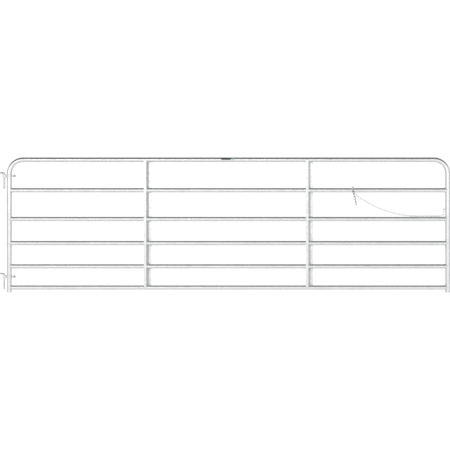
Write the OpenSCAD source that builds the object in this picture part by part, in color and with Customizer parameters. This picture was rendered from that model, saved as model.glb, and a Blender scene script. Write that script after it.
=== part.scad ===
// Six-bar tubular livestock gate with clamp-on strap hinges, screw hooks and a latch chain.
// X runs along the gate from the hinge post to the latch side, the front faces -Y, Z is up.
// The origin is on the lower screw hook's shank, where it enters the hinge post.
// Lengths are millimetres, angles are degrees.

/* [Frame tube] */
// Overall length over both uprights
gate_length = 4166; // [3900:1:4600]
// Overall height from the feet of the uprights
gate_height = 1270; // [1262:1:1290]
// Outside diameter of the bent frame tube
frame_d = 44.45; // [42:0.05:48]
// Wall thickness of the frame tube
frame_wall = 1.5; // [1:0.1:3]
// Centre-line radius of the two upper corners
corner_r = 130; // [110:1:150]

/* [Rails] */
// Outside diameter of the straight rails
rail_d = 41.3; // [38:0.1:42]
// Wall thickness of the straight rails
rail_wall = 1.2; // [0.9:0.1:2.5]
// Heights of the five straight rails above the feet, from the top one down
rail_heights = [961.6, 690.9, 464.8, 246.3, 47]; // [40:0.1:970]
// Gap that the weld bead fills between two tubes
weld_gap = 0.2; // [0.1:0.05:0.4]

/* [Z braces] */
// Left edges of the two braces, from the hinge upright's outer face
brace_starts = [1288, 2809]; // [600:1:3400]
// Width of each flange
brace_flange = 24; // [18:0.5:30]
// Run along the gate of the slanted web
brace_run = 22; // [16:0.5:30]
// Sheet thickness
brace_sheet = 2; // [1.5:0.1:3]
// Inside radius of the two folds
brace_fold_r = 2; // [1:0.5:3]

/* [Strap hinges] */
// Heights of the lower and the upper strap above the feet
strap_heights = [150, 1096]; // [140:1:1100]
// Distance from the pin's axis to the hinge upright's outer face
eye_offset = 24.4; // [22:0.1:30]
// Thickness of the bar the strap is bent from
strap_bar = 6; // [5:0.1:6.5]
// Height of the rolled eye
eye_height = 28; // [24:0.5:30]
// Height of the two clamp ears
ear_height = 21; // [18:0.5:26]
// Space between the two ears
ear_gap = 5; // [2:0.5:8]
// Length of the ears beyond the tube's axis
ear_reach = 60; // [56:0.5:66]
// Distance of the clamp bolt from the tube's axis
bolt_reach = 48.8; // [45:0.1:50]

/* [Clamp bolts] */
// Thread diameter of the clamp bolt
bolt_d = 9.5; // [8:0.1:10]
// Width across the flats of head and nut
hex_width = 14.3; // [13:0.1:17]
// Height of the bolt's head
head_height = 6; // [5:0.1:8]
// Height of the nut
nut_height = 8.2; // [6:0.1:10]
// Outside diameter of the flat washers
washer_d = 20.6; // [18:0.1:22]
// Thickness of the flat washers
washer_t = 1.6; // [1:0.1:2.5]

/* [Screw hooks] */
// Rod diameter of hook and pin
rod_d = 15.88; // [12:0.01:16]
// Radial play of the pin in the strap's eye
pin_play = 0.4; // [0.3:0.05:0.8]
// Distance from the post's face to the hinge axis
post_gap = 45; // [40:1:60]
// Centre-line radius of the hook's bend
hook_bend_r = 12.7; // [12:0.1:16]
// Height of the shank above the middle of the eye
hook_rise = 27.4; // [27.2:0.1:34]
// Length of the pin below the shank's axis
pin_length = 148; // [120:1:160]
// Depth of the whole screw in the post
screw_depth = 107; // [80:1:120]
// Length in the post before the thread starts
plain_depth = 25; // [15:1:40]
// Pitch of the lag thread
thread_pitch = 5.08; // [4:0.02:6]
// Depth of the lag thread
thread_depth = 1.7; // [1:0.1:2.2]

/* [Latch chain] */
// Wire diameter of the links
wire_d = 4.76; // [4.4:0.01:4.8]
// Inside length of a link
link_inner_length = 25.4; // [25.2:0.05:25.6]
// Inside width of a link
link_inner_width = 8; // [7.8:0.1:8.4]
// Slack between two linked crowns
link_slack = 0.6; // [0.5:0.05:0.8]
// Place of the chain's crossing over the second rail
chain_cross_x = 3253; // [3100:1:3300]
// Place where the hanging chain meets the third rail
chain_lift_x = 3862; // [3850:1:3870]
// Catenary parameter of the hanging stretch
chain_catenary = 897; // [880:1:910]
// Radius of the chain's turn from the rail up to its staple
chain_turn_r = 30; // [28:1:36]
// Number of links between the crossing and the staple
chain_run_links = 39; // [39:1:40]
// Number of links that hang in front of the second rail, past the first
tail_links = 4; // [2:1:6]
// Lean of the hanging tail towards the latch side
tail_lean = 13.5; // [0:0.5:20]
// Wire diameter of the welded staple
staple_wire_d = 6.35; // [5:0.05:8]
// Centre-line radius of the staple's bow
staple_r = 11; // [9:0.5:12]
// Distance of the staple's bow from the upright
staple_leg = 6; // [4:0.5:8]

/* [Label] */
// Start of the label from the hinge upright's outer face
label_start = 2007; // [1500:1:2500]
// Length of the label
label_length = 138; // [80:1:160]
// Thickness of the label
label_t = 0.4; // [0.2:0.05:0.8]

/* [Hidden] */
$fn = 48;

galvanised = [0.78, 0.80, 0.81];
forged = [0.66, 0.68, 0.69];
plated = [0.72, 0.72, 0.70];

frame_r = frame_d / 2;
rail_r = rail_d / 2;
rod_r = rod_d / 2;
bolt_r = bolt_d / 2;
// How far a cutting solid reaches past what it cuts.
cut = 1;

// Gate coordinates start at the hinge upright's outer face and at the feet.
gate_x = post_gap + eye_offset;
gate_z = -(strap_heights[0] + hook_rise);
top_z = gate_height - frame_r;
latch_x = gate_length - frame_r;

// Chain links: half the centre-line width, half the straight leg, and the length per link.
wire_r = wire_d / 2;
link_half_width = (link_inner_width + wire_d) / 2;
link_half_straight = link_inner_length / 2 + wire_r - link_half_width;
link_pitch = link_inner_length - link_slack;
crown_gap = wire_d + link_slack;
// Radius and end of the chain's wrap about the second rail.
wrap_clearance = 1.4;
wrap_r = rail_r + link_half_width + wire_r + wrap_clearance;
wrap_end = -52;
// How far the wrapped chain drifts along the rail, and where it starts to.
wrap_drift = 5;
drift_start = 67.5;
// Height of a resting link's middle: every link lies turned by 45 degrees.
rest_clearance = 0.4;
rest_height = (link_half_width * cos(45)) + wire_r + rest_clearance;

module in_gate() {
    translate([gate_x, 0, gate_z]) children();
}

// A rod along X from x = a to x = b.
module x_rod(r, a, b) {
    translate([a, 0, 0]) rotate([0, 90, 0]) cylinder(r = r, h = b - a);
}

// ---------------------------------------------------------------- frame and rails

// The bent tube's solid core at radius r, with its open ends lowered by extra.
module frame_core(r, extra) {
    leg = top_z - corner_r;
    span = gate_length - 2 * (frame_r + corner_r);
    for (side = [0, 1]) {
        translate([side * gate_length, 0, 0]) mirror([side, 0, 0]) {
            translate([frame_r, 0, -extra]) cylinder(r = r, h = leg + extra);
            translate([frame_r + corner_r, 0, leg])
                rotate([90, 0, 0])
                    rotate([0, 0, 90])
                        rotate_extrude(angle = 90) translate([corner_r, 0]) circle(r = r);
        }
    }
    translate([frame_r + corner_r, 0, top_z]) x_rod(r, 0, span);
}

module frame_tube() {
    color(galvanised) in_gate() difference() {
        frame_core(frame_r, 0);
        frame_core(frame_r - frame_wall, cut);
    }
}

// A straight rail, coped to the two uprights.
module rail(index) {
    height = rail_heights[index];
    color(galvanised) in_gate() difference() {
        translate([0, 0, height]) x_rod(rail_r, frame_r, latch_x);
        translate([0, 0, height]) x_rod(rail_r - rail_wall, frame_r - cut, latch_x + cut);
        for (x = [frame_r, latch_x])
            translate([x, 0, height - frame_d])
                cylinder(r = frame_r + weld_gap, h = 2 * frame_d);
    }
}

// ---------------------------------------------------------------- Z braces

// Space between a flange and the tubes it covers.
flange_gap = 0.4;

function arc(centre, r, from, to, steps) =
    [for (i = [0 : steps])
        let (a = from + (to - from) * i / steps) centre + r * [cos(a), sin(a)]];

// Plan outline of the folded sheet: front flange, slanted web, back flange.
function brace_outline() =
    let (plane = frame_r + flange_gap + brace_sheet / 2,
         web = [brace_run, 2 * plane],
         turn = atan2(web[1], web[0]),
         dir = [cos(turn), sin(turn)],
         mid_r = brace_fold_r + brace_sheet / 2,
         inner = brace_fold_r,
         outer = brace_fold_r + brace_sheet,
         setback = mid_r * tan(turn / 2),
         fold_1 = [brace_flange, -plane],
         fold_2 = fold_1 + web,
         end = [2 * brace_flange + brace_run, plane],
         half = [0, brace_sheet / 2],
         fold_steps = 5,
         centre_1 = fold_1 - [setback, 0] + [0, mid_r],
         centre_2 = fold_2 - setback * dir + mid_r * [dir[1], -dir[0]])
    concat([[0, -plane] - half],
           arc(centre_1, outer, -90, turn - 90, fold_steps),
           arc(centre_2, inner, 90 + turn, 90, fold_steps),
           [end - half, end + half],
           arc(centre_2, outer, 90, 90 + turn, fold_steps),
           arc(centre_1, inner, turn - 90, -90, fold_steps),
           [[0, -plane] + half]);

// The web is pierced for the rails that pass through it and coped to the end tubes.
module brace(start) {
    width = 2 * brace_flange + brace_run;
    bottom = rail_heights[4];
    color(galvanised) in_gate() translate([start, 0, 0]) difference() {
        translate([0, 0, bottom])
            linear_extrude(height = top_z - bottom) polygon(brace_outline());
        for (i = [0 : 3])
            translate([0, 0, rail_heights[i]]) x_rod(rail_r + 2 * weld_gap, -cut, width + cut);
        translate([0, 0, bottom]) x_rod(rail_r + weld_gap, -cut, width + cut);
        translate([0, 0, top_z]) x_rod(frame_r + weld_gap, -cut, width + cut);
    }
}

// ---------------------------------------------------------------- strap hinges

// Where the eye's full height starts to taper, from the pin's axis.
eye_shoulder = 10;
// Space between the two halves of the bar in the neck.
neck_gap = 1;
// Space between the band and the upright it clamps.
band_gap = 0.05;
// Radial play of the clamp bolt in the ears and the washers.
bolt_play = 0.4;
ear_face = strap_bar + ear_gap / 2;

// Side view of the strap: full height at the eye, tapering to the ears.
module strap_side_view(eye_x) {
    rotate([90, 0, 0])
        linear_extrude(height = 4 * frame_d, center = true)
            polygon([[eye_x - frame_d, -eye_height / 2], [eye_x + eye_shoulder, -eye_height / 2],
                     [frame_r, -ear_height / 2], [ear_reach + cut, -ear_height / 2],
                     [ear_reach + cut, ear_height / 2], [frame_r, ear_height / 2],
                     [eye_x + eye_shoulder, eye_height / 2], [eye_x - frame_d, eye_height / 2]]);
}

// One bar bent round the pin and the upright, drawn about the upright's axis.
module strap(height) {
    eye_x = -(frame_r + eye_offset);
    bore_r = rod_r + pin_play;
    h = eye_height;
    color(forged) in_gate() translate([frame_r, 0, height]) intersection() {
        difference() {
            union() {
                translate([eye_x, 0, 0]) cylinder(r = bore_r + strap_bar, h = h, center = true);
                translate([eye_x, -strap_bar - neck_gap / 2, -h / 2])
                    cube([-eye_x, 2 * strap_bar + neck_gap, h]);
                cylinder(r = frame_r + strap_bar, h = h, center = true);
                translate([0, -ear_face, -h / 2]) cube([ear_reach, 2 * ear_face, h]);
            }
            translate([eye_x, 0, 0]) cylinder(r = bore_r, h = h + cut, center = true);
            translate([eye_x, -neck_gap / 2, -h]) cube([-eye_x, neck_gap, 2 * h]);
            cylinder(r = frame_r + band_gap, h = h + cut, center = true);
            translate([0, -ear_gap / 2, -h]) cube([ear_reach + cut, ear_gap, 2 * h]);
            translate([bolt_reach, 0, 0])
                rotate([90, 0, 0]) cylinder(r = bolt_r + bolt_play, h = frame_d, center = true);
        }
        strap_side_view(eye_x);
    }
}

// ---------------------------------------------------------------- clamp bolts

// Length of the bolt past its nut, and the chamfer at its end.
bolt_stick = 2;
bolt_point = 1.5;
bolt_chamfer = 1;
// Radial play of the bolt in its nut.
nut_play = 0.08;

// Children are drawn along +Y from the gate's middle plane, about the clamp bolt's axis.
module at_clamp(height) {
    in_gate() translate([frame_r + bolt_reach, 0, height]) rotate([-90, 0, 0]) children();
}

module hexagon(height) {
    cylinder(r = hex_width / 2 / cos(30), h = height, $fn = 6);
}

module clamp_bolt(height) {
    seat = ear_face + washer_t;
    color(plated) at_clamp(height) union() {
        translate([0, 0, -seat - head_height]) hexagon(head_height);
        translate([0, 0, -seat - cut])
            cylinder(r = bolt_r, h = 2 * seat + cut + nut_height + bolt_stick);
        translate([0, 0, seat + nut_height + bolt_stick])
            cylinder(r1 = bolt_r, r2 = bolt_r - bolt_chamfer, h = bolt_point);
    }
}

module clamp_nut(height) {
    color(plated) at_clamp(height) translate([0, 0, ear_face + washer_t]) difference() {
        hexagon(nut_height);
        translate([0, 0, -cut]) cylinder(r = bolt_r + nut_play, h = nut_height + 2 * cut);
    }
}

module washers(height) {
    color(plated) at_clamp(height)
        for (z = [-ear_face - washer_t, ear_face])
            translate([0, 0, z]) difference() {
                cylinder(r = washer_d / 2, h = washer_t);
                translate([0, 0, -cut]) cylinder(r = bolt_r + bolt_play, h = washer_t + 2 * cut);
            }
}

// ---------------------------------------------------------------- screw hooks

// Length of the lag's point and radius of its tip.
point = 16;
tip_r = 0.8;
// How far the thread's crests stay below the plain shank's radius.
crest_inset = 0.15;
// Length and radial size of the taper at the pin's lower end.
pin_taper = 4;
pin_chamfer = 2.5;

// Radius against distance for the lag thread: ridges below the plain shank's radius, then a point.
function thread_profile() =
    let (crest = rod_r - crest_inset,
         root = crest - thread_depth,
         turns = floor((screw_depth - plain_depth - point) / thread_pitch))
    concat([for (i = [0 : turns - 1], step = [0 : 1])
               [step == 0 ? root : crest, plain_depth + thread_pitch * (i + 0.5 * step)]],
           [[root, plain_depth + thread_pitch * turns], [tip_r, screw_depth], [0, screw_depth]]);

// Shank from the bend into the post, with the pin hanging down on the hinge axis.
module hook(z) {
    bend_x = post_gap - hook_bend_r;
    color(forged) translate([0, 0, z]) union() {
        rotate([0, -90, 0])
            rotate_extrude()
                polygon(concat([[0, -bend_x], [rod_r, -bend_x], [rod_r, plain_depth]],
                               thread_profile()));
        translate([bend_x, 0, -hook_bend_r])
            rotate([90, 0, 0])
                rotate_extrude(angle = 90) translate([hook_bend_r, 0]) circle(r = rod_r);
        translate([post_gap, 0, pin_taper - pin_length])
            cylinder(r = rod_r, h = pin_length - hook_bend_r - pin_taper);
        translate([post_gap, 0, -pin_length])
            cylinder(r1 = rod_r - pin_chamfer, r2 = rod_r, h = pin_taper);
    }
}

// ---------------------------------------------------------------- latch chain

// A welded link about its centre, lying in the XY plane, long way along X.
module link_shape() {
    for (end = [0, 1]) mirror([end, 0, 0]) translate([link_half_straight, 0, 0])
        rotate([0, 0, -90])
            rotate_extrude(angle = 180) translate([link_half_width, 0]) circle(r = wire_r);
    for (side = [-1, 1]) translate([0, side * link_half_width, 0])
        x_rod(wire_r, -link_half_straight, link_half_straight);
}

// A link whose bows are centred on a and b, with its width along the unit vector w.
module link_at(a, b, w) {
    u = unit(b - a);
    v = cross(u, w);
    m = (a + b) / 2;
    multmatrix([[u[0], w[0], v[0], m[0]], [u[1], w[1], v[1], m[1]], [u[2], w[2], v[2], m[2]],
                [0, 0, 0, 1]])
        link_shape();
}

function unit(v) = v / norm(v);
function across(ref, u) = unit(ref - (ref * u) * u);

// Where the wrapped chain runs at angle a about the second rail: 0 is behind it, 90 on top.
function wrap_point(a) =
    let (drift = max(0, (drift_start - a) / 90))
    [chain_cross_x + wrap_drift * drift * drift,
     wrap_r * cos(a), rail_heights[0] + wrap_r * sin(a)];

// Chain route in gate coordinates, from in front of the second rail to the staple, in short steps.
route_step = 4;
drop_height = 140;
lay_z = rail_heights[1] + rail_r + rest_height;
drop_x = latch_x - frame_r - staple_leg - staple_r;
hang_start = wrap_point(wrap_end);

function catenary_z(x) =
    let (grow = exp((chain_lift_x - x) / chain_catenary))
    lay_z + chain_catenary * ((grow + 1 / grow) / 2 - 1);

// The chain leaves the rail above the catenary and drops to it over a short stretch.
hang_excess = hang_start[2] - catenary_z(hang_start[0]);
excess_decay = 10;

route = concat(
    [for (a = [180 : -3 : wrap_end]) wrap_point(a)],
    [for (t = [0.02 : 0.01 : 1])
        let (x = hang_start[0] + (chain_lift_x - hang_start[0]) * t)
        [x, hang_start[1] * (1 - t),
         catenary_z(x) + hang_excess * pow(1 - t, excess_decay)]],
    [for (x = [chain_lift_x + route_step : route_step : drop_x - chain_turn_r - route_step / 2])
        [x, 0, lay_z]],
    [for (a = [0 : 6 : 90])
        [drop_x - chain_turn_r + chain_turn_r * sin(a), 0,
         lay_z + chain_turn_r * (1 - cos(a))]],
    [for (z = [route_step : route_step : drop_height]) [drop_x, 0, lay_z + chain_turn_r + z]]);

// The route point at distance d from p, searching from index i: [point, index].
function ahead(p, i, d) =
    norm(route[i] - p) < d ? ahead(p, i + 1, d) :
    let (near = norm(route[i - 1] - p),
         far = norm(route[i] - p),
         t = (d - near) / (far - near))
    [route[i - 1] + (route[i] - route[i - 1]) * t, i];

// Links over the rail, in the hanging stretch and in the rise to the staple.
wrap_links = 5;
hanging_links = 24;
drop_links = 5;
last_link = wrap_links + chain_run_links - 1;
// Number of links over which the last link's turn is reached.
ease_links = 4;

// Turn of link k's width out of its reference direction, 90 degrees more for each link.
// Over the rail the turn eases from edge-on to 45 degrees. Near the staple it eases on or back,
// so that the last link stands in the gate's plane.
function link_roll(k) =
    let (ease_in = min(1, k / (wrap_links - 1)),
         ease_out = 1 - min(1, (last_link - k) / ease_links),
         sense = last_link % 2 == 0 ? 1 : -1)
    90 * k + 45 * (ease_in + sense * ease_out);

function link_width(k, u) =
    let (ref = k < wrap_links ? unit(cross([1, 0, 0], u)) : across([0, 1, 0], u),
         roll = link_roll(k))
    ref * cos(roll) + cross(u, ref) * sin(roll);

function in_plane(f, u, w) = unit((f * u) * u + (f * w) * w);

// Links as [centre of the first bow, centre of the second bow, width direction]. Each crown
// hangs in the one before it, where the pull between them meets both bows squarely.
function walk(a, i, k) =
    let (step = ahead(a, i, 2 * link_half_straight),
         b = step[0],
         u = unit(b - a),
         w = link_width(k, u),
         next_u = unit(ahead(b, step[1], link_pitch)[0] - b),
         next_w = link_width(k + 1, next_u),
         pull = unit(u + next_u),
         next_a = b - crown_gap * pull
                  + link_half_width * (in_plane(pull, u, w) + in_plane(pull, next_u, next_w)))
    concat([[a, b, w]], k == last_link ? [] : walk(next_a, step[1], k + 1));

links = walk([chain_cross_x, -wrap_r, rail_heights[0] - link_half_straight], 1, 0);

rest_first = wrap_links + hanging_links;
drop_first = last_link - drop_links + 1;

module chain_links(first, last) {
    color(galvanised) in_gate()
        for (k = [first : last]) link_at(links[k][0], links[k][1], links[k][2]);
}

// The tail hangs in the first link's lower bow, whose wire's centre is its pivot. Its first link
// lies in the gate's plane, and the next one across it.
tail_pivot = links[0][0] - link_half_width * unit(links[0][1] - links[0][0]);

module tail(first, last) {
    color(galvanised) in_gate() translate(tail_pivot) rotate([0, -tail_lean, 0])
        for (k = [first : last]) {
            top = [0, 0, crown_gap - link_half_width - k * link_pitch];
            link_at(top, top - [0, 0, 2 * link_half_straight],
                    k % 2 == 0 ? [1, 0, 0] : [0, 1, 0]);
        }
}

// Height of the staple above the middle of the last link's upper bow.
staple_lift = 0.3;

// A bow of round bar, welded to the latch upright through the chain's last link.
module chain_staple() {
    bow_x = drop_x + staple_r;
    seat_z = links[last_link][1][2] + staple_lift;
    color(forged) in_gate() translate([0, 0, seat_z]) difference() {
        union() {
            translate([bow_x, 0, 0]) rotate([0, 0, 90])
                rotate_extrude(angle = 180) translate([staple_r, 0]) circle(r = staple_wire_d / 2);
            for (side = [-1, 1]) translate([0, side * staple_r, 0])
                x_rod(staple_wire_d / 2, bow_x, latch_x);
        }
        translate([latch_x, 0, -frame_r]) cylinder(r = frame_r + weld_gap, h = frame_d);
    }
}

// ---------------------------------------------------------------- label

// Angle from the top of the rail to the label's upper edge, the angle it covers down the
// rail's front, and the gap under it.
label_top = 18;
label_wrap = 86;
label_gap = 0.05;

module label() {
    color([0.12, 0.12, 0.13]) in_gate() translate([label_start, 0, top_z])
        rotate([0, 90, 0]) rotate([0, 0, 180 + label_top])
            rotate_extrude(angle = label_wrap)
                translate([frame_r + label_gap, 0]) square([label_t, label_length]);
}

frame_tube();
rail(0);  // rail_2
rail(1);  // rail_3
rail(2);  // rail_4
rail(3);  // rail_5
rail(4);  // rail_6
brace(brace_starts[0]);  // brace_left
brace(brace_starts[1]);  // brace_right
strap(strap_heights[1]);  // upper_strap
strap(strap_heights[0]);  // lower_strap
clamp_bolt(strap_heights[1]);  // upper_clamp_bolt
clamp_bolt(strap_heights[0]);  // lower_clamp_bolt
clamp_nut(strap_heights[1]);  // upper_clamp_nut
clamp_nut(strap_heights[0]);  // lower_clamp_nut
washers(strap_heights[1]);  // upper_washers
washers(strap_heights[0]);  // lower_washers
hook(strap_heights[1] - strap_heights[0]);  // upper_hook
hook(0);  // lower_hook
chain_staple();
chain_links(drop_first, last_link);  // chain_drop
chain_links(rest_first, drop_first - 1);  // chain_on_rail
chain_links(wrap_links, rest_first - 1);  // chain_hanging
chain_links(0, wrap_links - 1);  // chain_over_rail
tail(0, 0);  // chain_tail_link
tail(1, tail_links);  // chain_tail
label();
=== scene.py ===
"""Looks for the livestock panel gate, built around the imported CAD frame. Lengths are metres."""

import math
import random

import bpy
import numpy as np
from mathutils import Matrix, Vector


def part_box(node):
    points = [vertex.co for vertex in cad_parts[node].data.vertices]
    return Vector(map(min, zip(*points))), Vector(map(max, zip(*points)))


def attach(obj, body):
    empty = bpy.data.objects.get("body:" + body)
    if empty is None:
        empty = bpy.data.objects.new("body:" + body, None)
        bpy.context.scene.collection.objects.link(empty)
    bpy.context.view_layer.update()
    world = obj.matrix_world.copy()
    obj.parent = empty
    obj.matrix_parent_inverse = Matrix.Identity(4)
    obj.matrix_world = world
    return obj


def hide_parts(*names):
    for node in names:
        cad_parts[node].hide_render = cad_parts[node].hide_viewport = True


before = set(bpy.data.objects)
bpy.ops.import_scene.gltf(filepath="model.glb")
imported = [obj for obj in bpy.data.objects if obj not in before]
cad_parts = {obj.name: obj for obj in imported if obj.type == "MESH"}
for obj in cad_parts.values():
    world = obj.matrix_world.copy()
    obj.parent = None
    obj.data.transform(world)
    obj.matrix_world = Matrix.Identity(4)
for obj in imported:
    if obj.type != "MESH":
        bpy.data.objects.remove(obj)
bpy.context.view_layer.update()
MM = 0.001
LEAF = "gate_leaf"
HOOKS = "post_hooks"


# ---------------------------------------------------------------- places read from the frame

def box_centre(node):
    low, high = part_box(node)
    return (low + high) / 2


def box_size(node):
    low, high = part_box(node)
    return high - low


frame_low, frame_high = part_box("frame_tube")
FRAME_R = (frame_high.y - frame_low.y) / 2
UPRIGHTS = (frame_low.x + FRAME_R, frame_high.x - FRAME_R)
TOP_Z = frame_high.z - FRAME_R
FOOT_Z = frame_low.z
RAILS = [f"rail_{i}" for i in range(2, 7)]
RAIL_R = box_size("rail_2").z / 2
RAIL_Z = [box_centre(rail).z for rail in RAILS]
BRACES = ("brace_left", "brace_right")
SIDES = ("upper", "lower")


# ---------------------------------------------------------------- camera, floor, light

def make_camera():
    """Square on to the gate's front, a little left of its middle and at half its height."""
    look_from_left = 2.050
    look_height = 0.635
    distance = 12.0
    picture_width = 4.230
    data = bpy.data.cameras.new("camera")
    data.sensor_width = 36.0
    data.lens = data.sensor_width * distance / picture_width
    data.clip_end = 200.0
    camera = bpy.data.objects.new("camera", data)
    camera.location = (frame_low.x + look_from_left, -distance, FOOT_Z + look_height)
    camera.rotation_euler = (math.radians(90), 0, 0)
    bpy.context.scene.collection.objects.link(camera)
    bpy.context.scene.camera = camera


class Nodes:
    """Adds shader nodes to a tree and links them by name."""

    def __init__(self, tree):
        self.tree = tree
        tree.nodes.clear()

    def add(self, kind, settings=None, **inputs):
        node = self.tree.nodes.new(kind)
        for key, value in (settings or {}).items():
            setattr(node, key, value)
        for key, value in inputs.items():
            self.feed(node.inputs[key.replace("_", " ")], value)
        return node

    def feed(self, socket, value):
        if isinstance(value, bpy.types.NodeSocket):
            self.tree.links.new(value, socket)
        else:
            socket.default_value = value

    def ramp(self, value, low, high, to_low=0.0, to_high=1.0, smooth=True):
        """Value rescaled from low..high to to_low..to_high, and held beyond."""
        kind = "SMOOTHSTEP" if smooth else "LINEAR"
        node = self.add("ShaderNodeMapRange", {"interpolation_type": kind}, Value=value)
        for name, number in (("From Min", low), ("From Max", high),
                             ("To Min", to_low), ("To Max", to_high)):
            self.feed(node.inputs[name], number)
        return node.outputs["Result"]

    def maths(self, operation, a, b=0.0):
        node = self.add("ShaderNodeMath", {"operation": operation})
        self.feed(node.inputs[0], a)
        self.feed(node.inputs[1], b)
        return node.outputs[0]

    def mix(self, share, a, b):
        """Colours a and b mixed, share of b."""
        node = self.add("ShaderNodeMix", {"data_type": "RGBA"})
        self.feed(node.inputs[0], share)
        self.feed(node.inputs[6], a)
        self.feed(node.inputs[7], b)
        return node.outputs[2]

    def mix_value(self, share, a, b):
        """Numbers a and b mixed, share of b."""
        node = self.add("ShaderNodeMix", {"data_type": "FLOAT"})
        self.feed(node.inputs[0], share)
        self.feed(node.inputs[2], a)
        self.feed(node.inputs[3], b)
        return node.outputs[0]

    def noise(self, where, scale, detail, roughness=0.5):
        return self.add("ShaderNodeTexNoise", Vector=where, Scale=scale, Detail=detail,
                        Roughness=roughness).outputs["Fac"]

    def surface(self, shader, kind="ShaderNodeOutputMaterial"):
        """Ends the tree in an output that shows the shader."""
        out = self.add(kind)
        self.feed(out.inputs["Surface"], shader.outputs[0])


def new_material(name):
    material = bpy.data.materials.new(name)
    material.use_nodes = True
    return material, Nodes(material.node_tree)


def make_world():
    """A plain white surround. The metal reflects it bright in front, dark overhead and middling
    at the sides, below and behind, as it would a studio with its lamps in front of the gate."""
    seen_side, seen_front, seen_behind, seen_over, seen_under = 0.36, 1.20, 0.62, 0.13, 0.86
    soft_light = 1.25
    backdrop = 1.06
    world = bpy.data.worlds.new("studio")
    world.use_nodes = True
    bpy.context.scene.world = world
    n = Nodes(world.node_tree)
    where = n.add("ShaderNodeTexCoord").outputs["Generated"]
    split = n.add("ShaderNodeSeparateXYZ", Vector=where)
    front = n.ramp(split.outputs["Y"], 0.10, -0.60)
    over = n.ramp(split.outputs["Z"], 0.25, 0.65)
    under = n.ramp(split.outputs["Z"], -0.15, -0.60)
    behind = n.ramp(split.outputs["Y"], 0.50, 0.95)
    level = n.mix_value(front, seen_side, seen_front)
    level = n.mix_value(behind, level, seen_behind)
    level = n.mix_value(over, level, seen_over)
    level = n.mix_value(under, level, seen_under)
    ray = n.add("ShaderNodeLightPath")
    level = n.mix_value(ray.outputs["Is Glossy Ray"], soft_light, level)
    level = n.mix_value(ray.outputs["Is Camera Ray"], level, backdrop)
    studio = n.add("ShaderNodeBackground", Color=(1.0, 1.0, 0.995, 1), Strength=level)
    n.surface(studio, "ShaderNodeOutputWorld")


def make_floor():
    """A plain pale floor a hand's breadth below the gate's feet, not mirrored in the metal."""
    half = 30.0
    drop = 0.10
    middle = (frame_low.x + frame_high.x) / 2
    mesh = bpy.data.meshes.new("floor")
    corners = [(middle + x * half, y * half, FOOT_Z - drop)
               for x, y in ((-1, -1), (1, -1), (1, 1), (-1, 1))]
    mesh.from_pydata(corners, [], [(0, 1, 2, 3)])
    floor = bpy.data.objects.new("floor", mesh)
    bpy.context.scene.collection.objects.link(floor)
    material, n = new_material("floor_paint")
    grain = n.add("ShaderNodeTexNoise", Scale=3.0, Detail=4.0).outputs["Fac"]
    colour = n.mix(grain, (0.90, 0.90, 0.90, 1), (0.94, 0.94, 0.94, 1))
    n.surface(n.add("ShaderNodeBsdfDiffuse", Color=colour))
    mesh.materials.append(material)
    floor.visible_glossy = False


def make_key_light():
    """A broad soft lamp in front, a little above the gate and to its left."""
    middle = (frame_low.x + frame_high.x) / 2
    key = bpy.data.lights.new("key", "AREA")
    key.shape = "RECTANGLE"
    key.size = 5.0
    key.size_y = 2.0
    key.energy = 30.0
    lamp = bpy.data.objects.new("key", key)
    lamp.location = (middle - 1.5, -6.0, FOOT_Z + 2.2)
    aim = Vector((middle, 0, FOOT_Z + 0.6)) - lamp.location
    lamp.rotation_euler = aim.to_track_quat("-Z", "Y").to_euler()
    bpy.context.scene.collection.objects.link(lamp)


# ---------------------------------------------------------------- materials

def zinc(name, light, dark, rough, spangle=0.0, streak=(1, 1, 1), grime=0.15, bump=0.05,
         metal=1.0, foot_shade=0.0):
    """Zinc-coated steel: spangle cells, drawn streaks, cloudy wear, fine pits and dull patches.
    streak stretches the fine grain, rough is (smoothest, dullest), spangle is the cells' share.
    foot_shade is the strength of a painted shade that darkens and dulls it at the gate's feet,
    fading out upwards."""
    foot_shade_reach = 1.15
    material, n = new_material(name)
    where = n.add("ShaderNodeTexCoord").outputs["Object"]
    cells = n.add("ShaderNodeTexVoronoi", {"feature": "F1"}, Vector=where, Scale=95.0,
                  Randomness=1.0)
    warp = n.noise(where, 260.0, 3.0)
    tilt = n.add("ShaderNodeSeparateColor", Color=cells.outputs["Color"]).outputs[0]
    feather = n.mix_value(0.3, tilt, warp)
    drawn = n.add("ShaderNodeMapping", Vector=where, Scale=streak)
    lines = n.noise(drawn.outputs[0], 60.0, 5.0, 0.6)
    cloud = n.noise(where, 4.0, 6.0, 0.62)
    spots = n.noise(where, 38.0, 8.0, 0.7)
    tone = n.mix_value(spangle, lines, feather)
    tone = n.mix_value(0.35, tone, cloud)
    colour = n.mix(n.ramp(tone, 0.25, 0.75), (*dark, 1), (*light, 1))
    patch = n.ramp(n.maths("MULTIPLY", cloud, spots), 0.29, 0.40, 0.0, grime)
    colour = n.mix(patch, colour, (0.47, 0.48, 0.47, 1))
    # Painted shade: a grey mixed in and less metal, strongest at the feet and gone 1.15 m up,
    # mottled by the spots noise.
    if foot_shade:
        level = n.add("ShaderNodeSeparateXYZ", Vector=where).outputs["Z"]
        foot_shade_mask = n.ramp(level, FOOT_Z, FOOT_Z + foot_shade_reach, foot_shade, 0.0, smooth=False)
        foot_shade_mask = n.maths("MULTIPLY", foot_shade_mask, n.ramp(spots, 0.30, 0.62, 0.7, 1.15))
        colour = n.mix(foot_shade_mask, colour, (0.50, 0.505, 0.495, 1))
        metal = n.maths("SUBTRACT", metal, n.maths("MULTIPLY", foot_shade_mask, 0.8))
    dull = n.ramp(tone, 0.2, 0.8, rough[1], rough[0])
    dull = n.mix_value(patch, dull, 0.72)
    pits = n.noise(where, 900.0, 2.0)
    height = n.mix_value(0.45, pits, tone)
    relief = n.add("ShaderNodeBump", Strength=bump, Distance=0.0006, Height=height)
    n.surface(n.add("ShaderNodeBsdfPrincipled", Base_Color=colour, Roughness=dull,
                    Metallic=metal, Normal=relief.outputs[0]))
    return material


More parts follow.
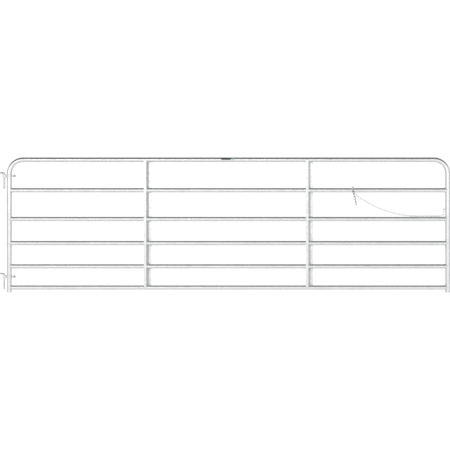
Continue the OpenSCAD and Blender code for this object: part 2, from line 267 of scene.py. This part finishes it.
def weld_metal():
    """Ripples brushed with bright zinc paint, sooty in the hollows."""
    material, n = new_material("weld_zinc")
    where = n.add("ShaderNodeTexCoord").outputs["Object"]
    blot = n.noise(where, 180.0, 6.0, 0.7)
    fleck = n.noise(where, 1500.0, 2.0)
    colour = n.mix(n.ramp(blot, 0.35, 0.65), (0.50, 0.51, 0.51, 1), (0.80, 0.81, 0.81, 1))
    rough = n.ramp(fleck, 0.3, 0.7, 0.42, 0.62)
    relief = n.add("ShaderNodeBump", Strength=0.25, Distance=0.0004,
                   Height=n.mix_value(0.5, blot, fleck))
    n.surface(n.add("ShaderNodeBsdfPrincipled", Base_Color=colour, Roughness=rough,
                    Metallic=0.85, Normal=relief.outputs[0]))
    return material


def label_material():
    """Silver film with a plain dark bar and a blue-green dot, both a little worn."""
    low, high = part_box("label")
    soft = 0.2 * MM
    bar_start, bar_end = low.x + 8.5 * MM, low.x + 99.5 * MM
    bar_mid = TOP_Z + 8.1 * MM
    bar_half = 9.4 * MM
    dot_x = high.x - 20 * MM
    dot_r = 9.4 * MM
    material, n = new_material("label_print")
    where = n.add("ShaderNodeTexCoord").outputs["Object"]
    split = n.add("ShaderNodeSeparateXYZ", Vector=where)
    x, z = split.outputs["X"], split.outputs["Z"]
    up = n.maths("ABSOLUTE", n.maths("SUBTRACT", z, bar_mid))
    along = n.maths("ABSOLUTE", n.maths("SUBTRACT", x, (bar_start + bar_end) / 2))
    half = (bar_end - bar_start) / 2
    in_bar = n.maths("MULTIPLY", n.ramp(up, bar_half - soft, bar_half + soft, 1.0, 0.0),
                     n.ramp(along, half - soft, half + soft, 1.0, 0.0))
    away = n.maths("SUBTRACT", x, dot_x)
    ring = n.maths("SQRT", n.maths("ADD", n.maths("MULTIPLY", away, away),
                                   n.maths("MULTIPLY", up, up)))
    in_dot = n.ramp(ring, dot_r - soft, dot_r + soft, 1.0, 0.0)
    wear = n.noise(where, 220.0, 6.0, 0.7)
    fade = n.ramp(wear, 0.28, 0.50, 0.86, 1.0)
    bar = n.maths("MULTIPLY", in_bar, fade)
    dot = n.maths("MULTIPLY", in_dot, fade)
    film = n.mix(wear, (0.72, 0.735, 0.735, 1), (0.88, 0.89, 0.89, 1))
    colour = n.mix(bar, film, (0.035, 0.035, 0.038, 1))
    colour = n.mix(dot, colour, (0.10, 0.30, 0.38, 1))
    rough = n.ramp(wear, 0.3, 0.7, 0.30, 0.46)
    metal = n.maths("SUBTRACT", 1.0, n.maths("MAXIMUM", in_bar, in_dot))
    relief = n.add("ShaderNodeBump", Strength=0.06, Distance=0.0003, Height=wear)
    n.surface(n.add("ShaderNodeBsdfPrincipled", Base_Color=colour, Roughness=rough,
                    Metallic=metal, Normal=relief.outputs[0]))
    return material


# ---------------------------------------------------------------- mesh helpers

def make_piece(name, verts, faces, material, body, replaced=(), sharp=38):
    """A mesh piece that rides on a body and stands for the replaced CAD nodes."""
    mesh = bpy.data.meshes.new(name)
    mesh.from_pydata([tuple(v) for v in verts], [], faces)
    mesh.validate()
    mesh.polygons.foreach_set("use_smooth", [True] * len(mesh.polygons))
    mesh.set_sharp_from_angle(angle=math.radians(sharp))
    mesh.materials.append(material)
    piece = bpy.data.objects.new(name, mesh)
    bpy.context.scene.collection.objects.link(piece)
    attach(piece, body)
    if replaced:
        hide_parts(*replaced)
    return piece


class Shape:
    """Collects vertices and faces of several closed shells for one piece."""

    def __init__(self):
        self.verts = []
        self.faces = []

    def add(self, verts, faces):
        start = len(self.verts)
        self.verts.extend(verts)
        self.faces.extend([tuple(start + i for i in face) for face in faces])

    def rings(self, rings, closed=False):
        """Joins equal rings of points into a skin, capped at both ends unless it closes."""
        count = len(rings[0])
        verts = [p for ring in rings for p in ring]
        faces = []
        last = len(rings) if closed else len(rings) - 1
        for i in range(last):
            a, b = i * count, (i + 1) % len(rings) * count
            for j in range(count):
                k = (j + 1) % count
                faces.append((a + j, a + k, b + k, b + j))
        if not closed:
            faces.append(tuple(range(count))[::-1])
            top = (len(rings) - 1) * count
            faces.append(tuple(top + j for j in range(count)))
        self.add(verts, faces)


def carried_frames(path, closed=False, start=None):
    """Tangent and two normals at each path point, carried along without twist."""
    points = [Vector(p) for p in path]
    count = len(points)
    tangents = []
    for i in range(count):
        before = points[i - 1] if closed or i else points[0]
        after = points[(i + 1) % count] if closed or i < count - 1 else points[-1]
        tangents.append((after - before).normalized())
    side = Vector(start) if start else tangents[0].orthogonal()
    frames = []
    for tangent in tangents:
        side = (side - tangent * side.dot(tangent)).normalized()
        frames.append((tangent, side, tangent.cross(side)))
    if closed:
        last = frames[-1][1]
        end = (last - tangents[0] * last.dot(tangents[0])).normalized()
        _, first_s, first_b = frames[0]
        twist = math.atan2(end.dot(first_b), end.dot(first_s))
        for i, (tangent, s, b) in enumerate(frames):
            turn = -twist * i / count
            frames[i] = (tangent, s * math.cos(turn) + b * math.sin(turn),
                         b * math.cos(turn) - s * math.sin(turn))
    return points, frames


def round_tube(shape, path, radius, sides=16, closed=False, start=None):
    """A round skin along path. radius(i, angle) gives its radius there."""
    points, frames = carried_frames(path, closed, start)
    rings = []
    for i, (p, (_, s, b)) in enumerate(zip(points, frames)):
        ring = []
        for j in range(sides):
            angle = 2 * math.pi * j / sides
            ring.append(p + (s * math.cos(angle) + b * math.sin(angle)) * radius(i, angle))
        rings.append(ring)
    shape.rings(rings, closed)


def path_length(path):
    return sum((Vector(b) - Vector(a)).length for a, b in zip(path, path[1:]))


def weld_bead(shape, path, size, seed, closed=False):
    """A rippled bead along a seam, swelling and thinning a little as a hand-laid one does."""
    draw = random.Random(seed)
    phase = draw.uniform(0, 6.28)
    ripple = 2.2 * MM
    step = path_length(path) / (len(path) - 1)

    def radius(i, angle):
        wave = 0.5 + 0.5 * math.sin(2 * math.pi * i * step / ripple)
        swell = math.sin(i * step * 55 + phase)
        end = 1.0 if closed else min(1.0, 0.45 + 0.3 * min(i, len(path) - 1 - i))
        return size * end * (0.86 + 0.14 * wave + 0.09 * swell)

    round_tube(shape, path, radius, sides=10, closed=closed)


# ---------------------------------------------------------------- weld beads

def rail_weld_beads():
    """A saddle-shaped bead at both ends of each rail."""
    shape = Shape()
    steps = 150
    for r, z in enumerate(RAIL_Z):
        for side, x in zip((1, -1), UPRIGHTS):
            seam = []
            for i in range(steps):
                angle = 2 * math.pi * i / steps
                y = RAIL_R * math.cos(angle)
                out = math.sqrt(FRAME_R ** 2 - y ** 2) + 0.8 * MM
                seam.append((x + side * out, y * 1.02, z + RAIL_R * math.sin(angle) * 1.02))
            weld_bead(shape, seam, 2.7 * MM, seed=r * 2 + side, closed=True)
    return make_piece("rail_weld_beads", shape.verts, shape.faces, WELD, LEAF)


def brace_weld_beads():
    """Short beads where each rail leaves a web, and along the flanges' ends."""
    flange_share = 24 / 70
    shape = Shape()
    for b, brace in enumerate(BRACES):
        low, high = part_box(brace)
        width = high.x - low.x
        flange = width * flange_share
        run = width - 2 * flange
        half_depth = (high.y - low.y) / 2
        seed = 100 * b
        for z in RAIL_Z[:4]:
            for up in (1, -1):
                for face in (1, -1):
                    seam = []
                    for i in range(33):
                        angle = math.radians(90 * up + 42 * (i / 16 - 1))
                        y = RAIL_R * math.cos(angle)
                        x = low.x + flange + run * (y + half_depth) / (2 * half_depth)
                        seam.append((x + face * 2.2 * MM, y * 1.03,
                                     z + RAIL_R * math.sin(angle) * 1.03))
                    seed += 1
                    weld_bead(shape, seam, 2.0 * MM, seed)
        for z, out in ((high.z, 1), (low.z, -1)):
            for y, start in ((low.y, low.x), (high.y, high.x - flange)):
                depth = y - math.copysign(1.3 * MM, y)
                seam = [(start + (2.5 + i * 0.5) * MM, depth, z + out * 0.5 * MM)
                        for i in range(int((flange / MM - 5) / 0.5))]
                seed += 1
                weld_bead(shape, seam, 1.7 * MM, seed)
    return make_piece("brace_weld_beads", shape.verts, shape.faces, WELD, LEAF)


def staple_weld_beads():
    """A bead round each foot of the chain's staple, on the latch upright."""
    low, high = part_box("chain_staple")
    wire_r = (high.z - low.z) / 2
    z = (low.z + high.z) / 2
    foot_y = (high.y - low.y) / 2 - wire_r
    shape = Shape()
    for k, side in enumerate((-1, 1)):
        seam = []
        for i in range(48):
            angle = 2 * math.pi * i / 48
            y = side * foot_y + (wire_r + 0.5 * MM) * math.cos(angle)
            x = UPRIGHTS[1] - math.sqrt(FRAME_R ** 2 - y * y) - 0.4 * MM
            seam.append((x, y, z + (wire_r + 0.5 * MM) * math.sin(angle)))
        weld_bead(shape, seam, 1.9 * MM, seed=900 + k, closed=True)
    return make_piece("staple_weld_beads", shape.verts, shape.faces, WELD, LEAF)


# ---------------------------------------------------------------- strap hinges

def arc_points(centre, radius, start, end, step=4.0):
    """Points along an arc in plan, angles in degrees."""
    count = max(2, int(abs(end - start) / step))
    return [(centre[0] + radius * math.cos(math.radians(start + (end - start) * i / count)),
             centre[1] + radius * math.sin(math.radians(start + (end - start) * i / count)))
            for i in range(count + 1)]


def strap_plan(eye_x, reach, band_r, eye_r, ear_y, neck_y, fold_r):
    """Centre line of the bar in plan about the upright: ear, band, neck, eye and back."""
    ear_x = math.sqrt((band_r + fold_r) ** 2 - (ear_y + fold_r) ** 2)
    ear_turn = math.degrees(math.atan2(ear_y + fold_r, ear_x))
    neck_x = math.sqrt((band_r + fold_r) ** 2 - (neck_y + fold_r) ** 2)
    neck_turn = math.degrees(math.atan2(neck_y + fold_r, neck_x))
    mouth_x = math.sqrt((eye_r + fold_r) ** 2 - (neck_y + fold_r) ** 2)
    mouth_turn = math.degrees(math.atan2(neck_y + fold_r, mouth_x))
    ear = [(reach - i * MM, -ear_y) for i in range(int((reach - ear_x) / MM) + 1)]
    half = ear[:-1]
    half += arc_points((ear_x, -ear_y - fold_r), fold_r, 90, 180 - ear_turn, 12)
    half += arc_points((0, 0), band_r, -ear_turn, -180 + neck_turn)[1:]
    half += arc_points((-neck_x, -neck_y - fold_r), fold_r, neck_turn, 90, 12)[1:]
    half += arc_points((eye_x + mouth_x, -neck_y - fold_r), fold_r, 90, 180 - mouth_turn, 12)
    half += arc_points((eye_x, 0), eye_r, -mouth_turn, -180, 6)[1:]
    return half + [(x, -y) for x, y in reversed(half[:-1])]


def rounded_section(half_t, half_h, corner, steps=4):
    """Points round a bar's section: thickness one way, height the other, rounded corners."""
    points = []
    for cx, cz, start in ((1, 1, 0), (-1, 1, 90), (-1, -1, 180), (1, -1, 270)):
        for i in range(steps + 1):
            angle = math.radians(start + 90 * i / steps)
            points.append((cx * (half_t - corner) + corner * math.cos(angle),
                           cz * (half_h - corner) + corner * math.sin(angle)))
    return points


def strap(side):
    """The hinge strap: one bar bent round the pin and the upright, with two bolted ears."""
    low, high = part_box(f"{side}_strap")
    upright = UPRIGHTS[0]
    bar = (high.y - low.y) / 2 - FRAME_R
    middle = (low.z + high.z) / 2
    eye_height = high.z - low.z
    pin_y = box_centre(f"{side}_hook").y
    rod_r = box_size(f"{side}_hook").y / 2
    pin_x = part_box(f"{side}_hook")[1].x - rod_r
    eye_x = pin_x - upright
    eye_bore = pin_x - low.x - bar
    reach = high.x - upright
    plan = strap_plan(eye_x, reach - 0.3 * MM, FRAME_R + 0.1 * MM + bar / 2,
                      eye_bore + bar / 2, 2.5 * MM + bar / 2, 0.5 * MM + bar / 2, 5 * MM)
    path = [(upright + x, pin_y + y, middle) for x, y in plan]
    ear_height = 21 * MM
    corner = 5 * MM
    taper_start = eye_x + 10 * MM
    points, frames = carried_frames(path, start=(0, 0, 1))
    rings = []
    for p, (_, up, across) in zip(points, frames):
        x = p.x - upright
        taper = min(1.0, max(0.0, (x - taper_start) / (FRAME_R - taper_start)))
        height = eye_height + (ear_height - eye_height) * taper
        to_end = max(0.0, corner - (reach - x))
        height -= 2 * (corner - math.sqrt(max(0.0, corner ** 2 - to_end ** 2)))
        section = rounded_section(bar / 2 - 0.05 * MM, height / 2, 1.1 * MM)
        rings.append([p + across * t + up * h for t, h in section])
    shape = Shape()
    shape.rings(rings)
    return make_piece(f"{side}_strap_bar", shape.verts, shape.faces, FORGED, LEAF,
                      (f"{side}_strap",))


# ---------------------------------------------------------------- bolts and nuts

def hex_radius(angle, flat):
    """Distance from the centre to a hexagon's side at an angle in radians."""
    turn = (math.degrees(angle) + 30) % 60 - 30
    return flat / math.cos(math.radians(turn))


def hex_rings(centre, axis_sign, flat, height, both_ends, bore=None, sides=72):
    """Rings of a chamfered hexagon that rises along Y from its seat at centre."""
    rise = math.tan(math.radians(28))
    start = math.radians(30)

    def ring(radius, level):
        points = []
        for j in range(sides):
            angle = 2 * math.pi * j / sides
            r = radius(angle) if callable(radius) else radius
            y = level(r) if callable(level) else level
            points.append(Vector((centre[0] + r * math.cos(angle + start),
                                  centre[1] + axis_sign * y,
                                  centre[2] + r * math.sin(angle + start))))
        return points

    def edge(angle):
        return hex_radius(angle, flat)

    mouth = bore + 0.7 * MM if bore else 0.4 * MM
    face_r = flat * 0.94
    low_level = (lambda r: (r - face_r) * rise) if both_ends else 0.0
    rings = [ring(mouth, 0.0), ring(face_r if both_ends else edge, 0.0),
             ring(edge, low_level), ring(edge, lambda r: height - (r - face_r) * rise),
             ring(face_r, height), ring(mouth, height)]
    if bore:
        rings += [ring(bore, height - 0.6 * MM), ring(bore, 0.6 * MM)]
    return rings


def thread_tube(shape, start, direction, length, crest, root, pitch, sides=36, end_r=None):
    """A threaded shaft from start along direction, with a true helix and a chamfered end."""
    step = pitch / 8
    count = int(length / step)
    path = [Vector(start) + Vector(direction) * (length * i / count) for i in range(count + 1)]

    def radius(i, angle):
        along = length * i / count
        phase = (along / pitch - angle / (2 * math.pi)) % 1.0
        ridge = 1 - abs(2 * phase - 1)
        r = root + (crest - root) * min(1.0, ridge * 1.15)
        left = length - along
        if end_r is not None and left < pitch:
            r = min(r, end_r + (crest - end_r) * left / pitch)
        return r

    round_tube(shape, path, radius, sides)


def clamp_bolt(side):
    low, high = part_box(f"{side}_clamp_bolt")
    washer_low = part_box(f"{side}_washers")[0]
    nut_low, nut_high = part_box(f"{side}_clamp_nut")
    centre = (low + high) / 2
    flat = (high.z - low.z) / 2
    head = washer_low.y - low.y
    bolt_r = 4.75 * MM
    shape = Shape()
    shape.rings(hex_rings((centre.x, washer_low.y, centre.z), -1, flat, head, False))
    thread_tube(shape, (centre.x, washer_low.y + 0.2 * MM, centre.z), (0, 1, 0),
                high.y - washer_low.y - 0.2 * MM, bolt_r, bolt_r - 0.75 * MM, 1.59 * MM,
                end_r=bolt_r - 1.1 * MM)
    make_piece(f"{side}_clamp_screw", shape.verts, shape.faces, PLATED, LEAF,
               (f"{side}_clamp_bolt",), sharp=30)
    nut = Shape()
    nut.rings(hex_rings((centre.x, nut_low.y, centre.z), 1, flat, nut_high.y - nut_low.y,
                        True, bore=bolt_r + 0.1 * MM), closed=True)
    make_piece(f"{side}_clamp_hexnut", nut.verts, nut.faces, PLATED, LEAF,
               (f"{side}_clamp_nut",), sharp=30)


def washer_rings(side):
    """Both flat washers, with the rounded rim of a stamping."""
    low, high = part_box(f"{side}_washers")
    centre = (low + high) / 2
    outer = (high.z - low.z) / 2
    bore = 5.15 * MM
    thick = 1.6 * MM
    shape = Shape()
    for seat, out in ((low.y + thick, -1), (high.y - thick, 1)):
        profile = [(bore, 0.0), (outer - 0.15 * MM, 0.0), (outer, 0.3 * MM),
                   (outer, thick - 0.5 * MM), (outer - 0.25 * MM, thick - 0.15 * MM),
                   (outer - 0.6 * MM, thick), (bore + 0.3 * MM, thick),
                   (bore, thick - 0.2 * MM)]
        rings = []
        for j in range(64):
            angle = 2 * math.pi * j / 64
            rings.append([Vector((centre.x + r * math.cos(angle), seat + out * y,
                                  centre.z + r * math.sin(angle))) for r, y in profile])
        shape.rings(rings, closed=True)
    return make_piece(f"{side}_washer_pair", shape.verts, shape.faces, PLATED, LEAF,
                      (f"{side}_washers",), sharp=50)


# ---------------------------------------------------------------- screw hooks

def screw_hook(side):
    """A forged rod: lag point and thread, plain shank, bend, and the pin the gate swings on."""
    low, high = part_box(f"{side}_hook")
    rod_r = (high.y - low.y) / 2
    pin_x = high.x - rod_r
    shank_z = high.z - rod_r
    bend_r = 12.7 * MM
    thread_start = -25 * MM
    pitch = 5.08 * MM
    crest = rod_r - 0.15 * MM
    root = crest - 1.7 * MM
    point = 15 * MM
    draw = random.Random(7 if side == "upper" else 8)
    phase = [draw.uniform(0, 6.28) for _ in range(3)]
    path = []
    step = pitch / 12
    count = int((thread_start - low.x) / step)
    for i in range(count + 1):
        path.append((low.x + (thread_start - low.x) * i / count, 0, shank_z))
    plain = pin_x - bend_r - thread_start
    path += [(thread_start + plain * i / 24, 0, shank_z) for i in range(1, 25)]
    path += [(pin_x - bend_r + bend_r * math.sin(math.radians(a)), 0,
              shank_z - bend_r + bend_r * math.cos(math.radians(a))) for a in range(6, 91, 6)]
    drop = shank_z - bend_r - low.z
    path += [(pin_x, 0, shank_z - bend_r - drop * i / 60) for i in range(1, 61)]
    total = len(path)

    def radius(i, angle):
        x, _, z = path[i]
        if i <= count:
            along = x - low.x
            ridge = 1 - abs(2 * ((along / pitch + angle / (2 * math.pi)) % 1.0) - 1)
            r = root + (crest - root) * max(0.0, min(1.0, (ridge - 0.38) * 2.4))
            r = min(r, 0.6 * MM + (crest - 0.6 * MM) * (along / point) ** 0.8)
            fade = min(1.0, (thread_start - x) / pitch)
            return r * fade + (rod_r - 0.05 * MM) * (1 - fade)
        dent = (math.sin(3 * angle + x * 210 + phase[0]) + math.sin(2 * angle + z * 170 + phase[1])
                + math.sin(angle + (x + z) * 90 + phase[2]))
        r = rod_r - 0.10 * MM + 0.03 * MM * dent
        left = z - low.z
        if i > total - 8:
            r = min(r, rod_r - 2.6 * MM + 2.5 * MM * math.sqrt(max(0.0, left) / (5 * MM)))
        return r

    shape = Shape()
    round_tube(shape, path, radius, sides=40, start=(0, 1, 0))
    return make_piece(f"{side}_hook_rod", shape.verts, shape.faces, HOOK, HOOKS,
                      (f"{side}_hook",), sharp=50)


# ---------------------------------------------------------------- chain

def loose_solids(node):
    """The triangles of each separate solid of a CAD node, as point arrays."""
    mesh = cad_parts[node].data
    points = np.zeros(len(mesh.vertices) * 3)
    mesh.vertices.foreach_get("co", points)
    points = points.reshape(-1, 3)
    mesh.calc_loop_triangles()
    triangles = np.zeros(len(mesh.loop_triangles) * 3, int)
    mesh.loop_triangles.foreach_get("vertices", triangles)
    keys = np.round(points / 1e-6).astype(np.int64)
    _, same = np.unique(keys, axis=0, return_inverse=True)
    triangles = same.reshape(-1)[triangles].reshape(-1, 3)
    merged = np.zeros((same.max() + 1, 3))
    merged[same.reshape(-1)] = points
    label = np.arange(len(merged))
    while True:
        least = label[triangles].min(axis=1)
        new = label.copy()
        for corner in range(3):
            np.minimum.at(new, triangles[:, corner], least)
        new = new[new]
        if (new == label).all():
            break
        label = new
    owner = label[triangles[:, 0]]
    return [merged[triangles[owner == key]] for key in sorted(set(owner.tolist()))]


def solid_frame(triangles):
    """Centre, long axis and width axis of a solid, from its volume's moments."""
    a, b, c = triangles[:, 0], triangles[:, 1], triangles[:, 2]
    origin = triangles.reshape(-1, 3).mean(0)
    a, b, c = a - origin, b - origin, c - origin
    volume = np.einsum("ij,ij->i", a, np.cross(b, c)) / 6
    total = volume.sum()
    centre = (volume[:, None] * (a + b + c) / 4).sum(0) / total
    s = a + b + c
    moment = sum(np.einsum("i,ij,ik->jk", volume, p, p) for p in (a, b, c, s)) / 20 / total
    moment -= np.outer(centre, centre)
    _, axes = np.linalg.eigh(moment)
    return Vector(origin + centre), Vector(axes[:, 2]), Vector(axes[:, 1])


def chain_link(shape, centre, along, width, draw):
    """A bent and butt-welded link: round wire and a lump at the weld."""
    wire_r = 2.38 * MM
    half_width = 6.38 * MM
    half_straight = 8.7 * MM
    thick = along.cross(width)
    flip = draw.choice((-1, 1))
    weld_at = draw.uniform(-1.2, 1.2) * MM
    straight, bow = 14, 22
    path, places = [], []
    for i in range(straight):
        path.append((-half_straight + 2 * half_straight * i / straight, -half_width))
    for i in range(bow):
        angle = math.pi * (i / bow - 0.5)
        path.append((half_straight + half_width * math.cos(angle), half_width * math.sin(angle)))
    for i in range(straight):
        path.append((half_straight - 2 * half_straight * i / straight, half_width))
    for i in range(bow):
        angle = math.pi * (i / bow + 0.5)
        path.append((-half_straight + half_width * math.cos(angle), half_width * math.sin(angle)))
    for x, y in path:
        places.append(centre + along * x + width * (y * flip))

    def radius(i, angle):
        x, y = path[i]
        r = wire_r * 0.985
        if y < 0 and abs(x) < half_straight:
            r += 0.42 * MM * math.exp(-((x - weld_at) / (1.5 * MM)) ** 2)
        return r

    round_tube(shape, places, radius, sides=14, closed=True, start=thick)


def chain_piece(node, body, seed):
    """The links of one chain node. Those that hang in front of the gate get a darker copy of the
    chain's zinc, as painted shade.
    """
    draw = random.Random(seed)
    shape = Shape()
    shaded = []
    for triangles in loose_solids(node):
        centre, along, width = solid_frame(triangles)
        before = len(shape.faces)
        chain_link(shape, centre, along, width, draw)
        # Links hanging in front of the gate are picked out for the painted shade.
        in_front_shaded = centre.y < -1.2 * RAIL_R
        shaded += [in_front_shaded] * (len(shape.faces) - before)
    first = SHADED_CHAIN if all(shaded) else CHAIN
    piece = make_piece(f"{node}_wire", shape.verts, shape.faces, first, body,
                       (node,), sharp=60)
    if any(shaded) and not all(shaded):
        piece.data.materials.append(SHADED_CHAIN)
        piece.data.polygons.foreach_set("material_index", [int(w) for w in shaded])
    return piece


# ---------------------------------------------------------------- label

def label_film():
    """The printed film, wrapped on the top rail's upper front, with rounded corners."""
    low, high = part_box("label")
    outer = FRAME_R + 0.40 * MM
    inner = FRAME_R + 0.06 * MM
    inset = math.radians(0.4)
    first = math.acos(min(1.0, (high.z - TOP_Z) / (FRAME_R + 0.45 * MM))) + inset
    last = math.acos((low.z - TOP_Z) / (FRAME_R + 0.45 * MM)) - inset
    corner = 5 * MM
    across, along = 30, 70
    rings = []
    for i in range(along + 1):
        x = low.x + (high.x - low.x) * i / along
        end = max(0.0, corner - min(x - low.x, high.x - x))
        pull = (corner - math.sqrt(max(0.0, corner ** 2 - end ** 2))) / FRAME_R
        angles = [first + pull + (last - first - 2 * pull) * j / across
                  for j in range(across + 1)]
        ring = [(outer - (0.12 * MM if j in (0, across) else 0), a) for j, a in enumerate(angles)]
        ring += [(inner, a) for a in reversed(angles)]
        rings.append([Vector((x, -r * math.sin(a), TOP_Z + r * math.cos(a))) for r, a in ring])
    shape = Shape()
    shape.rings(rings)
    return make_piece("label_film", shape.verts, shape.faces, LABEL, LEAF,
                      ("label",), sharp=60)


# ---------------------------------------------------------------- build

make_camera()
make_world()
make_floor()
make_key_light()

BRIGHT, GREY = (0.88, 0.89, 0.89), (0.72, 0.735, 0.735)
RAIL = zinc("galvanised_rail", BRIGHT, GREY, (0.26, 0.40), spangle=0.55, streak=(0.2, 1, 1),
            foot_shade=0.16)
TUBE = zinc("galvanised_tube", BRIGHT, GREY, (0.26, 0.40), spangle=0.55, streak=(1, 1, 0.2),
            foot_shade=0.36)
SHEET = zinc("galvanised_sheet", (0.84, 0.85, 0.85), (0.69, 0.70, 0.70), (0.28, 0.44),
             spangle=0.75, streak=(1, 1, 0.2), foot_shade=0.28)
FORGED = zinc("forged_zinc", (0.86, 0.87, 0.87), (0.68, 0.69, 0.69), (0.36, 0.54),
              spangle=0.25, grime=0.22, bump=0.16)
HOOK = zinc("hook_zinc", (0.72, 0.73, 0.73), (0.52, 0.53, 0.53), (0.30, 0.46),
            spangle=0.2, grime=0.30, bump=0.12)
PLATED = zinc("plated_fastener", (0.46, 0.46, 0.45), (0.26, 0.26, 0.25), (0.28, 0.44),
              spangle=0.1, grime=0.25, bump=0.06)
CHAIN = zinc("chain_zinc", (0.92, 0.93, 0.93), (0.78, 0.79, 0.79), (0.36, 0.50),
             spangle=0.1, grime=0.12, bump=0.08, metal=0.55)
# A darker copy of chain_zinc: painted shade for the links that hang in front of the gate.
SHADED_CHAIN = zinc("chain_painted_shade", (0.40, 0.40, 0.39), (0.17, 0.17, 0.165), (0.30, 0.46),
                  spangle=0.1, grime=0.35, bump=0.10)
WELD = weld_metal()
LABEL = label_material()

for node_name, material in [("frame_tube", TUBE), ("chain_staple", FORGED),
                            *((rail, RAIL) for rail in RAILS),
                            *((brace, SHEET) for brace in BRACES)]:
    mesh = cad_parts[node_name].data
    mesh.materials.clear()
    mesh.materials.append(material)

rail_weld_beads()
brace_weld_beads()
staple_weld_beads()
for side_name in SIDES:
    strap(side_name)
    clamp_bolt(side_name)
    washer_rings(side_name)
    screw_hook(side_name)
for seed, (chain_node, chain_body) in enumerate((
        ("chain_drop", LEAF), ("chain_on_rail", LEAF), ("chain_hanging", LEAF),
        ("chain_over_rail", LEAF), ("chain_tail_link", "tail_link"), ("chain_tail", "chain_end"))):
    chain_piece(chain_node, chain_body, seed)
label_film()

bpy.context.scene.view_settings.view_transform = "Standard"
